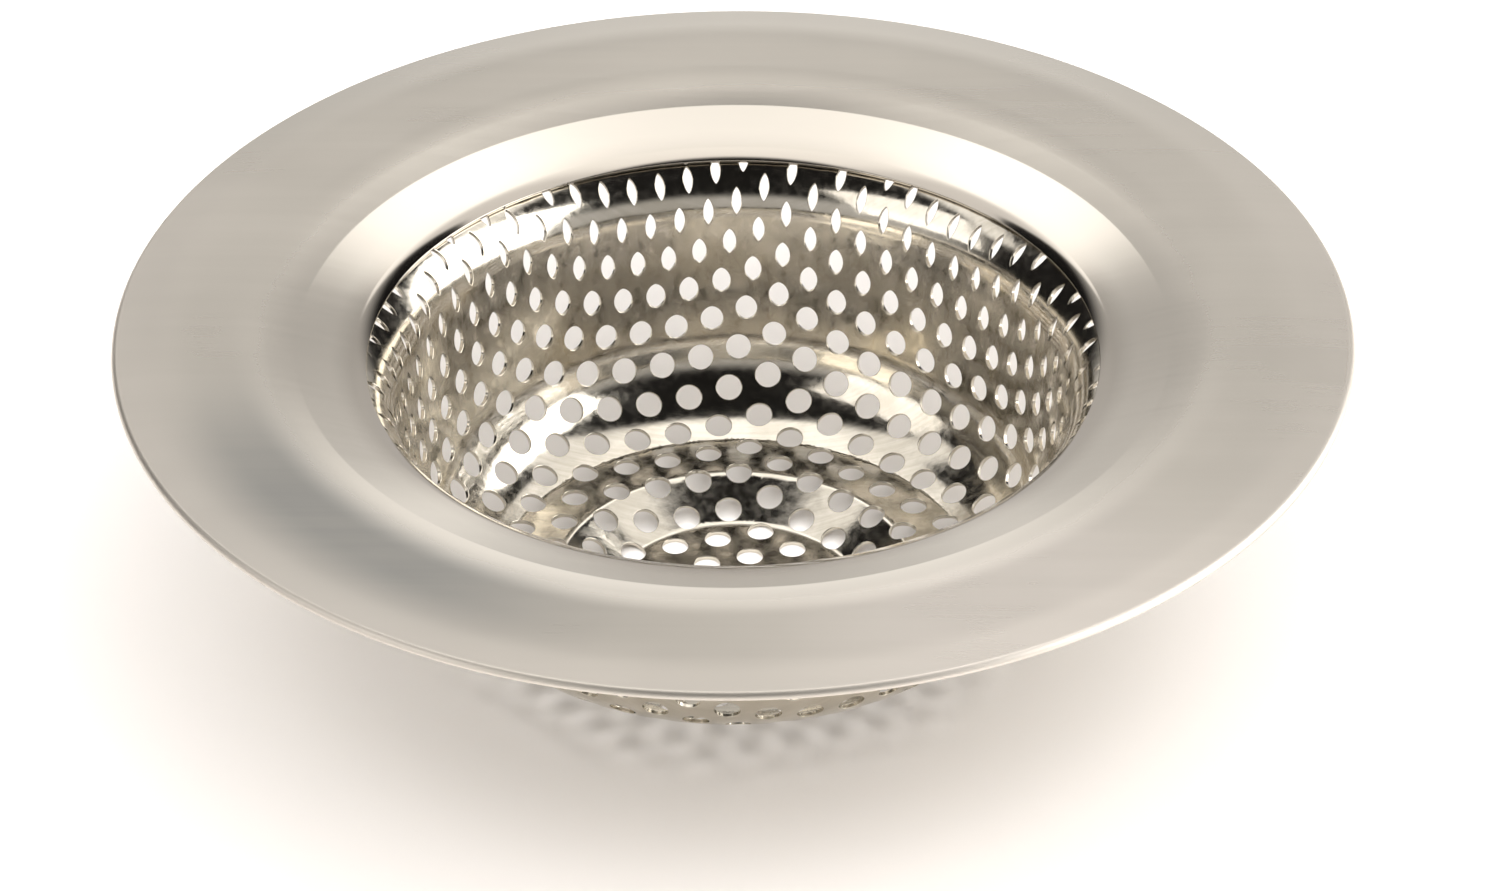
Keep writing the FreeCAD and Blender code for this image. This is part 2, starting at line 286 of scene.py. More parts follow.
class Groups:
    """Shader node groups of the steel finishes."""

    @staticmethod
    def _new(name: str, inputs: dict[str, float], outputs: tuple[str, ...]) -> tuple[Any, NodeSheet, Any, Any]:
        """Starts a group with number inputs and outputs.

        Args:
            name: The group's name.
            inputs: Names and first values of its inputs.
            outputs: Names of its outputs.

        Returns:
            The group, its sheet of nodes, its input node and its output node.
        """
        group = bpy.data.node_groups.new(name, "ShaderNodeTree")
        for title, first in inputs.items():
            socket = group.interface.new_socket(title, in_out="INPUT", socket_type="NodeSocketFloat")
            socket.default_value = first
        for title in outputs:
            group.interface.new_socket(title, in_out="OUTPUT", socket_type="NodeSocketFloat")
        sheet = NodeSheet(group)
        return group, sheet, sheet.add("NodeGroupInput"), sheet.add("NodeGroupOutput")

    @classmethod
    def grain(cls) -> bpy.types.NodeTree:
        """Fine parallel scratches along X: a mask of them, in sizes per millimetre."""
        group, sheet, given, result = cls._new(
            "sheet_grain", {"Along": 0.05, "Across": 3.0, "Lean": 0.0}, ("Grain",)
        )
        place = sheet.add("ShaderNodeTexCoord").outputs["Object"]
        axes = sheet.add("ShaderNodeSeparateXYZ", {0: place})
        leaning = sheet.math("MULTIPLY", axes.outputs["X"], given.outputs["Lean"])
        across = sheet.math("ADD", axes.outputs["Y"], leaning)
        scaled = [
            sheet.math("MULTIPLY", sheet.math("MULTIPLY", axis, 1 / MM), given.outputs[rate])
            for axis, rate in ((axes.outputs["X"], "Along"), (across, "Across"))
        ]
        vector = sheet.add("ShaderNodeCombineXYZ", {0: scaled[0], 1: scaled[1]}).outputs[0]
        wiring = {"Vector": vector, "Scale": 1.0, "Detail": 4.0, "Roughness": 0.6}
        noise = sheet.add("ShaderNodeTexNoise", wiring)
        sheet.tree.links.new(noise.outputs[0], result.inputs["Grain"])
        return group

    @classmethod
    def clouds(cls) -> bpy.types.NodeTree:
        """Soft uneven patches: a mask of them, in a size per millimetre."""
        group, sheet, given, result = cls._new("soft_patches", {"Size": 0.1, "Detail": 2.0}, ("Patch",))
        place = sheet.add("ShaderNodeTexCoord").outputs["Object"]
        rate = sheet.math("MULTIPLY", given.outputs["Size"], 1 / MM)
        wiring = {"Vector": place, "Scale": rate, "Detail": given.outputs["Detail"], "Roughness": 0.5}
        noise = sheet.add("ShaderNodeTexNoise", wiring)
        sheet.tree.links.new(noise.outputs[0], result.inputs["Patch"])
        return group

    @classmethod
    def ring(cls) -> bpy.types.NodeTree:
        """A mask that rises from none to full between two distances from the axis, in millimetres."""
        group, sheet, given, result = cls._new("ring_mask", {"Inner": 40.0, "Outer": 46.0}, ("Mask",))
        place = sheet.add("ShaderNodeTexCoord").outputs["Object"]
        level = sheet.add("ShaderNodeVectorMath", {0: place, 1: (1.0, 1.0, 0.0)}, operation="MULTIPLY")
        reach = sheet.add("ShaderNodeVectorMath", {0: level.outputs[0]}, operation="LENGTH").outputs["Value"]
        distance = sheet.math("MULTIPLY", reach, 1 / MM)
        mask = sheet.spread(distance, given.outputs["Inner"], given.outputs["Outer"], 0.0, 1.0)
        sheet.tree.links.new(mask, result.inputs["Mask"])
        return group


@dataclass(frozen=True)
class SteelGroups:
    """The shared groups, made once."""

    grain: bpy.types.NodeTree
    clouds: bpy.types.NodeTree
    ring: bpy.types.NodeTree

    @classmethod
    def make(cls) -> "SteelGroups":
        """Makes all three groups."""
        return cls(Groups.grain(), Groups.clouds(), Groups.ring())


class Surface:
    """A material with one metal shader, wired step by step."""

    def __init__(self, name: str) -> None:
        """Makes the material with an empty tree, a metal shader and an output.

        Args:
            name: The material's name.
        """
        self.material = bpy.data.materials.new(name)
        self.material.use_nodes = True
        self.material.node_tree.nodes.clear()
        self.sheet = NodeSheet(self.material.node_tree)
        self.shader = self.sheet.add("ShaderNodeBsdfPrincipled", {"Metallic": 1.0})
        self.sheet.add("ShaderNodeOutputMaterial", {"Surface": self.shader.outputs[0]})

    def group(self, tree: bpy.types.NodeTree, **values: float) -> bpy.types.NodeSocket:
        """Adds a shared group with the given numbers and returns its mask."""
        return self.sheet.add("ShaderNodeGroup", dict(values), node_tree=tree).outputs[0]

    def feed(self, socket: str, source: bpy.types.NodeSocket) -> None:
        """Links an output to an input of the shader."""
        self.material.node_tree.links.new(source, self.shader.inputs[socket])

    def bump(self, height: bpy.types.NodeSocket, depth: float, under: Any = None) -> bpy.types.NodeSocket:
        """Relief from a mask.

        Args:
            height: The mask.
            depth: Height of the full mask, in millimetres.
            under: The normal of a coarser relief below this one, if there is one.

        Returns:
            The normal.
        """
        wiring = {"Strength": 1.0, "Distance": depth * MM, "Height": height}
        if under is not None:
            wiring["Normal"] = under
        return self.sheet.add("ShaderNodeBump", wiring).outputs[0]


@dataclass(frozen=True)
class SatinSteel:
    """Brushed sheet, smoother on the collar, with painted shade at the near left and towards the mouth, a
    painted highlight at the near right, and on the outer border a painted highlight in front and painted shade
    at the back.

    Attributes:
        light: The lighter of the two colours that the grain mixes.
        dark: The darker one.
        painted_shade: Colour of the painted shade at the near left, and of the painted shade on the outer
            border at the back.
        painted_mouth_shade: Colour of the painted shade towards the mouth.
        bright: Colour of the painted highlight at the near right, and of the painted highlight on the outer
            border in front.
        brim_roughness: Least and most roughness on the brim.
        collar_roughness: Least and most roughness on the collar.
        painted_shade_place: Middle of the painted shade at the near left, in millimetres.
        painted_shade_reach: Distances at which it starts to fade and has faded, in millimetres.
        painted_highlight_place: Middle of the painted highlight at the near right, in millimetres.
        painted_highlight_reach: The same two distances for it.
        brim_ring: Radii at which the brim's finish starts and is full, in millimetres.
        flat_ring: The same for the part that the painted shade and the painted highlight at the near left and
            right lie on.
        painted_light_border_ring: The same for the outer border that carries the painted highlight in front and
            the painted shade at the back.
        edge_ring: The same for the turned-down edge.
        mouth_ring: The same for the painted shade at the mouth, from outside inwards; the sheet is also
            smoother there.
    """

    light: Colour = (0.605, 0.568, 0.508, 1.0)
    dark: Colour = (0.565, 0.53, 0.473, 1.0)
    painted_shade: Colour = (0.36, 0.353, 0.332, 1.0)
    painted_mouth_shade: Colour = (0.40, 0.365, 0.32, 1.0)
    bright: Colour = (0.74, 0.69, 0.63, 1.0)
    brim_roughness: Range = (0.25, 0.34)
    collar_roughness: Range = (0.13, 0.18)
    painted_shade_place: Point = (-36.0, -33.0, 30.0)
    painted_shade_reach: Range = (8.0, 34.0)
    painted_highlight_place: Point = (23.0, -43.0, 30.0)
    painted_highlight_reach: Range = (6.0, 26.0)
    brim_ring: Range = (39.5, 44.5)
    flat_ring: Range = (41.0, 46.0)
    painted_light_border_ring: Range = (48.5, 56.0)
    edge_ring: Range = (56.3, 56.7)
    mouth_ring: Range = (37.4, 33.6)

    def material(self, groups: SteelGroups) -> bpy.types.Material:
        """Makes the material."""
        surface = Surface(Slot.SATIN.value)
        sheet = surface.sheet
        fine = surface.group(groups.grain, Along=0.02, Across=1.0, Lean=0.02)
        broad = surface.group(groups.grain, Along=0.012, Across=0.4, Lean=0.02)
        patch = surface.group(groups.clouds, Size=0.045, Detail=3.0)
        rings = (self.brim_ring, self.flat_ring, self.painted_light_border_ring, self.edge_ring, self.mouth_ring)
        brim, flat, painted_light_border, edge, mouth = (
            surface.group(groups.ring, Inner=inner, Outer=outer) for inner, outer in rings
        )
        streak = sheet.math("ADD", sheet.math("MULTIPLY", fine, 0.5), sheet.math("MULTIPLY", broad, 0.5))
        tone = sheet.math("ADD", sheet.math("MULTIPLY", streak, 0.4), sheet.math("MULTIPLY", patch, 0.6))
        steel = sheet.tint(sheet.spread(tone, 0.3, 0.7, 0.0, 1.0), self.dark, self.light)
        kept = sheet.math("SUBTRACT", flat, sheet.math("MULTIPLY", painted_light_border, 0.7))
        # Painted shade: a darker, bluer patch at the near left of the brim, mostly kept off the outer border.
        painted_shade = sheet.math("MULTIPLY", self._spot(sheet, self.painted_shade_place, self.painted_shade_reach, broad), kept)
        # Painted highlight: a paler patch at the near right of the brim.
        bright = sheet.math("MULTIPLY", self._spot(sheet, self.painted_highlight_place, self.painted_highlight_reach, broad), flat)
        steel = sheet.tint(bright, sheet.tint(painted_shade, steel, self.painted_shade), self.bright)
        place = sheet.add("ShaderNodeTexCoord").outputs["Object"]
        back = sheet.add("ShaderNodeSeparateXYZ", {0: place}).outputs["Y"]
        # Painted highlight on the outer border in front, and painted shade on it at the back.
        front = sheet.math("MULTIPLY", painted_light_border, sheet.spread(back, 10 * MM, 40 * MM, 0.38, 0.0))
        behind = sheet.math("MULTIPLY", painted_light_border, sheet.spread(back, 20 * MM, 50 * MM, 0.0, 0.35))
        steel = sheet.tint(behind, sheet.tint(front, steel, self.bright), self.painted_shade)
        # Painted shade: the collar darkens towards the mouth.
        surface.feed("Base Color", sheet.tint(sheet.math("MULTIPLY", mouth, 0.7), steel, self.painted_mouth_shade))
        satin = sheet.spread(tone, 0.25, 0.75, *self.brim_roughness)
        smooth = sheet.spread(tone, 0.25, 0.75, *self.collar_roughness)
        blend = sheet.add("ShaderNodeMix", {0: brim, 2: smooth, 3: satin}, data_type="FLOAT").outputs[0]
        polish = sheet.math("SUBTRACT", sheet.math("MULTIPLY", edge, 0.18), sheet.math("MULTIPLY", mouth, 0.06))
        surface.feed("Roughness", sheet.math("ADD", blend, polish))
        surface.feed("Normal", surface.bump(patch, 0.02))
        return surface.material

    @staticmethod
    def _spot(sheet: NodeSheet, middle: Point, reach: Range, streak: Any) -> bpy.types.NodeSocket:
        """A soft, streaky round mask.

        Args:
            sheet: The material's nodes.
            middle: The mask's middle, in millimetres.
            reach: Distances at which it starts to fade and has faded, in millimetres.
            streak: The mask of broad streaks.

        Returns:
            The mask's socket.
        """
        place = sheet.add("ShaderNodeTexCoord").outputs["Object"]
        centre = tuple(length * MM for length in middle)
        away = sheet.add("ShaderNodeVectorMath", {0: place, 1: centre}, operation="DISTANCE").outputs["Value"]
        spot = sheet.spread(away, reach[0] * MM, reach[1] * MM, 1.0, 0.0)
        return sheet.math("MULTIPLY", spot, sheet.spread(streak, 0.3, 0.7, 0.88, 1.0))


@dataclass(frozen=True)
class PolishedSteel:
    """Bright drawn sheet, a little wavy between its holes."""

    light: Colour = (0.65, 0.608, 0.53, 1.0)
    dark: Colour = (0.555, 0.515, 0.436, 1.0)
    roughness: Range = (0.10, 0.18)

    def material(self, groups: SteelGroups) -> bpy.types.Material:
        """Makes the material."""
        surface = Surface(Slot.POLISHED.value)
        sheet = surface.sheet
        ripple = surface.group(groups.clouds, Size=0.28, Detail=1.0)
        speck = surface.group(groups.clouds, Size=1.3, Detail=2.0)
        streak = surface.group(groups.grain, Along=0.08, Across=2.2)
        tone = sheet.math("ADD", sheet.math("MULTIPLY", ripple, 0.5), sheet.math("MULTIPLY", streak, 0.5))
        surface.feed("Base Color", sheet.tint(sheet.spread(tone, 0.35, 0.65, 0.0, 1.0), self.dark, self.light))
        surface.feed("Roughness", sheet.spread(speck, 0.3, 0.7, *self.roughness))
        surface.feed("Normal", surface.bump(speck, 0.005, surface.bump(ripple, 0.035)))
        return surface.material


@dataclass(frozen=True)
class WeldSteel:
    """Dull steel with a faint heat tint."""

    grey: Colour = (0.42, 0.41, 0.40, 1.0)
    straw: Colour = (0.50, 0.42, 0.30, 1.0)
    roughness: Range = (0.38, 0.55)

    def material(self, groups: SteelGroups) -> bpy.types.Material:
        """Makes the material."""
        surface = Surface(Slot.WELD.value)
        sheet = surface.sheet
        patch = surface.group(groups.clouds, Size=0.9, Detail=3.0)
        surface.feed("Base Color", sheet.tint(sheet.spread(patch, 0.4, 0.7, 0.0, 1.0), self.grey, self.straw))
        surface.feed("Roughness", sheet.spread(patch, 0.3, 0.7, *self.roughness))
        surface.feed("Normal", surface.bump(patch, 0.01))
        return surface.material


def rim_section() -> Section:
    """The rim's section from the mouth outwards: collar, ramp, brim and turned-down edge."""
    legs = (
        bend(6.45, -14.0),
        straight(5.19),
        bend(2.75, -4.0),
        straight(2.39),
        bend(14.75, -13.0),
        straight(5.4896),
        bend(24.75, -5.3044),
        straight(2.6557),
        bend(0.35, -84.6956),
        straight(0.1),
    )
    return Section((33.7788, 27.3278), 31.0, legs)


def basket_section() -> Section:
    """The basket's section from the axis outwards: disc, step, tread, heel, corner, wall and lip."""
    legs = (
        straight(11.5547),
        bend(1.7, 30.1040),
        straight(4.6760),
        bend(1.3, -30.1040),
        straight(4.87),
        bend(1.2, 20.0),
        straight(1.29),
        bend(9.2, 61.5724),
        straight(12.0259),
        bend(5.85, -64.5724),
        straight(4.2540),
    )
    return Section((0.0, 0.2), 0.0, legs)


@dataclass
class RimFlange:
    """The pressed rim: brim, ramp and collar.

    Attributes:
        node: The CAD node that it stands for.
        gauge: Sheet thickness, in millimetres.
        edge: Softening of the sheet's cut edges, in millimetres.
        edge_steps: Steps round each softened edge.
        around: Steps round the rim.
    """

    node: str = "rim_flange"
    gauge: float = 0.5
    edge: float = 0.12
    edge_steps: int = 3
    around: int = 540
    sheet: Sheet = field(init=False)

    def __post_init__(self) -> None:
        """Draws the section."""
        self.sheet = Sheet(rim_section(), self.gauge)

    def _outline(self) -> np.ndarray:
        """The cut face's outline: distance, offset to the left and the normal's two shares."""
        section, half, edge = self.sheet.section, self.gauge / 2, self.edge
        inner = section.stations(pitch=1.2, turn=2.0)
        near, far = edge, section.length - edge
        inner = inner[(inner > near) & (inner < far)]
        none, full = np.zeros_like(inner), np.ones_like(inner)
        top = np.stack([inner, half * full, none, full], 1)
        underside = np.stack([inner[::-1], -half * full, none, -full], 1)
        quarter = np.radians(np.linspace(0, 90, self.edge_steps + 1))
        rounded = []
        corners = ((far, half - edge), (far, edge - half), (near, edge - half), (near, half - edge))
        for number, (along, out) in enumerate(corners):
            turn = quarter + math.radians(90 * number)
            ahead, up = np.sin(turn), np.cos(turn)
            rounded.append(np.stack([along + edge * ahead, out + edge * up, ahead, up], 1))
        return np.concatenate([top, *rounded[:2], underside, *rounded[2:]])

    def build(self) -> bpy.types.Object:
        """Turns the outline about the axis.

        Returns:
            The rim.
        """
        outline = self._outline()
        azimuth = np.linspace(0, 2 * math.pi, self.around, endpoint=False)
        distance, offset, ahead, up = (column[:, None] for column in outline.T)
        point, uphill, _, normal = self.sheet.frame_at(
            np.broadcast_to(distance, (len(outline), self.around)),
            np.broadcast_to(azimuth, (len(outline), self.around)),
        )
        draft = MeshDraft()
        rings = draft.add_points(
            point + normal * offset[..., None], uphill * ahead[..., None] + normal * up[..., None]
        )
        draft.bridge(np.roll(rings, -1, axis=0), rings)
        piece = draft.build("rim")
        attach(piece, "root")
        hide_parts(self.node)
        return piece

    def dress(self, piece: bpy.types.Object, material: bpy.types.Material) -> None:
        """Gives the rim its finish."""
        piece.data.materials.append(material)


@dataclass(frozen=True)
class HoleRings:
    """Outlines of the holes on the flat blank.

    Attributes:
        sites: Their centres.
        azimuth: Their angles about the middle, in radians.
        closed: Share of the blank's ring length that drawing leaves.
        width: Their widths on the drawn sheet, in millimetres.
        height: Their heights on the drawn sheet, in millimetres.
        turn: For each hole, the directions of its outline's points from the way outwards.
        sharpness: How far the narrowest holes come to a point.
    """

    sites: np.ndarray
    azimuth: np.ndarray
    closed: np.ndarray
    width: np.ndarray
    height: np.ndarray
    turn: np.ndarray
    sharpness: float = 0.9

    def outline(self, grow: float) -> np.ndarray:
        """The outlines, grown by a distance on the drawn sheet, in millimetres."""
        point = 1 + self.sharpness * (1 - self.width / self.width.max())[:, None]
        sine = np.sin(self.turn)
        sideways = (self.width[:, None] / 2 + grow) * np.sign(sine) * np.abs(sine) ** point
        outwards = (self.height[:, None] / 2 + grow) * np.cos(self.turn)
        out = np.stack([np.cos(self.azimuth), np.sin(self.azimuth)], -1)[:, None]
        around = np.stack([-np.sin(self.azimuth), np.cos(self.azimuth)], -1)[:, None]
        across = (sideways / self.closed[:, None])[..., None]
        return self.sites[:, None] + across * around + outwards[..., None] * out


@dataclass
class StrainerBasket:
    """The drawn basket of perforated sheet.

    The holes lie on a triangular lattice of the flat blank. Drawing keeps lengths along the
    section and closes the rings, so the holes of the upper wall are narrow.

    Attributes:
        node: The CAD node that it stands for.
        gauge: Sheet thickness, in millimetres.
        pitch: Distance between neighbouring holes of the blank, in millimetres.
        hole: Hole diameter, in millimetres.
        margin: Plain margin of the lip, in millimetres.
        closing: How fast the holes narrow as their ring closes.
        stretch: Share of the lost width that a hole gains in height.
        angle: Turn of the lattice, in degrees.
        shift: Place of one hole from the middle, in millimetres.
        edges: Softening of a hole's edge inside and outside, in millimetres.
        side_steps: Steps along each side of a hole's six-sided cell.
        inner_shares: Places of the inner face's rings between a hole and its cell's outline.
        outer_share: Place of the outer face's ring between them.
        lip_band: Width of the even band along the lip's edge, in millimetres.
        lip_steps: Steps round that band.
        loose_reach: Distance of the margin's loose points from the lip's edge, in millimetres.
        loose_steps: How many of them lie round the lip.
        loose_gap: How far they stay from the cells, in millimetres.
    """

    node: str = "strainer_basket"
    gauge: float = 0.4
    pitch: float = 4.195
    hole: float = 2.45
    margin: float = 2.5
    closing: float = 26.0
    stretch: float = 0.1
    angle: float = 15.7
    shift: Range = (-0.68, -1.53)
    edges: Range = (0.08, 0.06)
    side_steps: int = 6
    inner_shares: Range = (0.66, 0.33)
    outer_share: float = 0.5
    lip_band: float = 2.4
    lip_steps: int = 420
    loose_reach: float = 4.0
    loose_steps: int = 300
    loose_gap: float = 0.5
    sheet: Sheet = field(init=False)

    def __post_init__(self) -> None:
        """Draws the section."""
        self.sheet = Sheet(basket_section(), self.gauge)

    def _sites(self) -> np.ndarray:
        """Hole centres on the flat blank."""
        reach = self.sheet.section.length - self.margin - self.hole
        count = int(2 * reach / self.pitch)
        i, j = np.meshgrid(np.arange(-count, count + 1), np.arange(-count, count + 1))
        turns = np.radians([self.angle, self.angle + 60])
        first, second = self.pitch * np.stack([np.cos(turns), np.sin(turns)], 1)
        sites = np.array(self.shift) + i.reshape(-1, 1) * first + j.reshape(-1, 1) * second
        return sites[np.hypot(*sites.T) < reach]

    def _cell_ring(self) -> np.ndarray:
        """The outline of one six-sided cell about its hole, anticlockwise."""
        turns = np.radians(self.angle + 30 + 60 * np.arange(7))
        corners = self.pitch / math.sqrt(3) * np.stack([np.cos(turns), np.sin(turns)], 1)
        share = (np.arange(self.side_steps) / self.side_steps)[None, :, None]
        sides = corners[:-1, None] * (1 - share) + corners[1:, None] * share
        return sides.reshape(-1, 2)

    def _place(self, flat: np.ndarray, offset: float) -> tuple[np.ndarray, np.ndarray]:
        """Carries points of the blank to the drawn sheet.

        Args:
            flat: Points of the blank, in millimetres.
            offset: Distance inwards from the middle of the sheet, in millimetres.

        Returns:
            The places and the inward normals.
        """
        point, _, _, normal = self.sheet.frame_at(np.hypot(flat[..., 0], flat[..., 1]),
                                                  np.arctan2(flat[..., 1], flat[..., 0]))
        return point + normal * offset, normal

    def _holes(self, sites: np.ndarray, ring: np.ndarray) -> HoleRings:
        """Outlines of all holes, in step with the cells' outlines."""
        away = np.hypot(*sites.T)
        radius, _, _ = self.sheet.section.at(away)
        closed = radius / away
        width = self.hole * np.exp(-self.closing * (1 - closed) ** 3)
        height = self.hole + self.stretch * (self.hole - width)
        azimuth = np.arctan2(sites[:, 1], sites[:, 0])
        turn = np.arctan2(ring[:, 1], ring[:, 0])[None] - azimuth[:, None]
        return HoleRings(sites, azimuth, closed, width, height, turn)

    def build(self) -> bpy.types.Object:
        """Makes the perforated sheet cell by cell, and its plain lip.

        Returns:
            The basket.
        """
        draft = MeshDraft()
        sites, ring = self._sites(), self._cell_ring()
        cells = sites[:, None] + ring[None]
        keys, numbers = np.unique(np.round(cells.reshape(-1, 2), 3), axis=0, return_inverse=True)
        numbers = numbers.reshape(cells.shape[:2])
        holes = self._holes(sites, ring)
        half = self.gauge / 2
        inside = draft.add_points(*self._place(keys, half))
        outside_points, outside_normals = self._place(keys, -half)
        outside = draft.add_points(outside_points, -outside_normals)
        rings = [inside[numbers]]
        edge_in, edge_out = self.edges
        for share in self.inner_shares:
            flat = cells * share + holes.outline(edge_in) * (1 - share)
            rings.append(draft.add_points(*self._place(flat, half)))
        for turn in np.radians([0, 30, 60, 90]):
            rings.append(self._edge(draft, holes, edge_in, turn, 1))
        for turn in np.radians([90, 45, 0]):
            rings.append(self._edge(draft, holes, edge_out, turn, -1))
        flat = cells * self.outer_share + holes.outline(edge_out) * (1 - self.outer_share)
        points, normals = self._place(flat, -half)
        rings.append(draft.add_points(points, -normals))
        rings.append(outside[numbers])
        for first, second in zip(rings, rings[1:]):
            draft.bridge(first, second)
        self._add_lip(draft, keys, numbers, sites, inside, outside)
        piece = draft.build("basket")
        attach(piece, "root")
        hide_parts(self.node)
        return piece

    def _edge(self, draft: MeshDraft, holes: HoleRings, edge: float, turn: float, side: int) -> np.ndarray:
        """Adds one ring of a hole's rounded edge.

        Args:
            draft: The mesh.
            holes: The holes' outlines.
            edge: Radius of the edge, in millimetres.
            turn: How far round the edge the ring lies, in radians; none is on the sheet's face.
            side: 1 for the inner face and -1 for the outer one.

        Returns:
            Numbers of the new points.
        """
        flat = holes.outline(edge * (1 - math.sin(turn)))
        offset = side * (self.gauge / 2 - edge * (1 - math.cos(turn)))
        points, normals = self._place(flat, offset)
        middles, _ = self._place(np.broadcast_to(holes.sites[:, None], flat.shape), offset)
        inwards = middles - points
        inwards -= normals * np.sum(inwards * normals, -1, keepdims=True)
        inwards /= np.linalg.norm(inwards, axis=-1, keepdims=True)
        return draft.add_points(points, side * math.cos(turn) * normals + math.sin(turn) * inwards)

    def _add_lip(self, draft: MeshDraft, keys: np.ndarray, numbers: np.ndarray, sites: np.ndarray,
                 inside: np.ndarray, outside: np.ndarray) -> None:
        """Fills the plain margin from the outermost cells to the lip's edge.

        Args:
            draft: The mesh.
            keys: Points of the cells' outlines on the blank.
            numbers: For each cell, the numbers of its points in keys.
            sites: Hole centres.
            inside: Mesh numbers of the keys on the inner face.
            outside: Mesh numbers of the keys on the outer face.
        """
        edges = np.stack([numbers, np.roll(numbers, -1, axis=1)], -1).reshape(-1, 2)
        ordered, used = np.unique(np.sort(edges, axis=1), axis=0, return_counts=True)
        border = ordered[used == 1]
        fringe = np.unique(border)
        length = self.sheet.section.length
        band = length - self.lip_band
        turns = np.linspace(0, 2 * math.pi, self.lip_steps, endpoint=False)
        circles = [radius * np.stack([np.cos(turns), np.sin(turns)], 1) for radius in (band, length)]
        flat = np.concatenate([keys[fringe], circles[0], self._loose_points(length - self.loose_reach, sites)])
        local = {number: place for place, number in enumerate(fringe)}
        fixed = [(local[a], local[b]) for a, b in border]
        first = len(fringe)
        fixed += [(first + k, first + (k + 1) % len(turns)) for k in range(len(turns))]
        result = delaunay_2d_cdt([Vector(p) for p in flat], fixed, [], 0, TOLERANCE)
        triangles = np.array(result[2])
        points = np.array([list(p) for p in result[0]])
        middle = points[triangles].mean(1)
        keep = (self._past_cells(middle, sites) > 0) & (np.hypot(*middle.T) < band)
        triangles = triangles[keep]
        order = np.array([source[0] for source in result[3]])
        faces = []
        for side, known in ((1, inside), (-1, outside)):
            added_points, added_normals = self._place(flat[first:], side * self.gauge / 2)
            added = draft.add_points(added_points, side * added_normals)
            table = np.concatenate([known[fringe], added])
            corner = table[order[triangles]]
            draft.add_triangles(corner if side > 0 else corner[:, ::-1])
            rim_points, rim_normals = self._place(circles[1], side * self.gauge / 2)
            rim = draft.add_points(rim_points, side * rim_normals)
            inner = added[: len(turns)]
            draft.bridge(*((rim, inner) if side > 0 else (inner, rim)))
            _, uphill, _, _ = self.sheet.frame_at(np.full(len(turns), length), turns)
            faces.append(draft.add_points(rim_points, uphill))
        draft.bridge(faces[1], faces[0])

    def _past_cells(self, points: np.ndarray, sites: np.ndarray) -> np.ndarray:
        """How far points lie outside the nearest cell; none inside."""
        turns = np.radians(self.angle + 60 * np.arange(6))
        ways = np.stack([np.cos(turns), np.sin(turns)], 1)
        away = np.max((points[:, None] - sites[None]) @ ways.T, axis=-1) - self.pitch / 2
        return np.min(np.maximum(away - TOLERANCE, 0), axis=1)

    def _loose_points(self, radius: float, sites: np.ndarray) -> np.ndarray:
        """Points on a circle of the margin that stay clear of the cells."""
        turns = np.linspace(0, 2 * math.pi, self.loose_steps, endpoint=False)
        points = radius * np.stack([np.cos(turns), np.sin(turns)], 1)
        return points[self._past_cells(points, sites) > self.loose_gap]

    def dress(self, piece: bpy.types.Object, material: bpy.types.Material) -> None:
        """Gives the basket its finish."""
        piece.data.materials.append(material)


@dataclass
class SpotWelds:
    """The weld patches between collar and lip, as the CAD has them."""

    node: str = "spot_welds"

    def dress(self, material: bpy.types.Material) -> bpy.types.Object:
        """Gives the patches their finish and returns them."""
        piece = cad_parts[self.node]
        piece.data.materials.clear()
        piece.data.materials.append(material)
        return piece


@dataclass(frozen=True)
class Panel:
    """A soft light panel.

    Attributes:
        name: Its name.
        place: Its middle, in metres.
        aim: The point that it faces, in metres.
        size: Its width and height, in metres.
        radiance: Its brightness.
        colour: Its colour.
    """

    name: str
    place: Point
    aim: Point
    size: Range
    radiance: float
    colour: tuple[float, float, float]

    def build(self) -> bpy.types.Object:
        """Makes the light."""
        light = bpy.data.lights.new(self.name, "AREA")
        light.shape = "RECTANGLE"
        light.size, light.size_y = self.size
        light.energy = math.pi * self.radiance * self.size[0] * self.size[1]
        light.color = self.colour
        lamp = bpy.data.objects.new(self.name, light)
        lamp.visible_diffuse = False
        ahead = Vector(self.aim) - Vector(self.place)
        turn = ahead.to_track_quat("-Z", "Y").to_matrix().to_4x4()
        lamp.matrix_world = Matrix.Translation(self.place) @ turn
        bpy.context.scene.collection.objects.link(lamp)
        return lamp


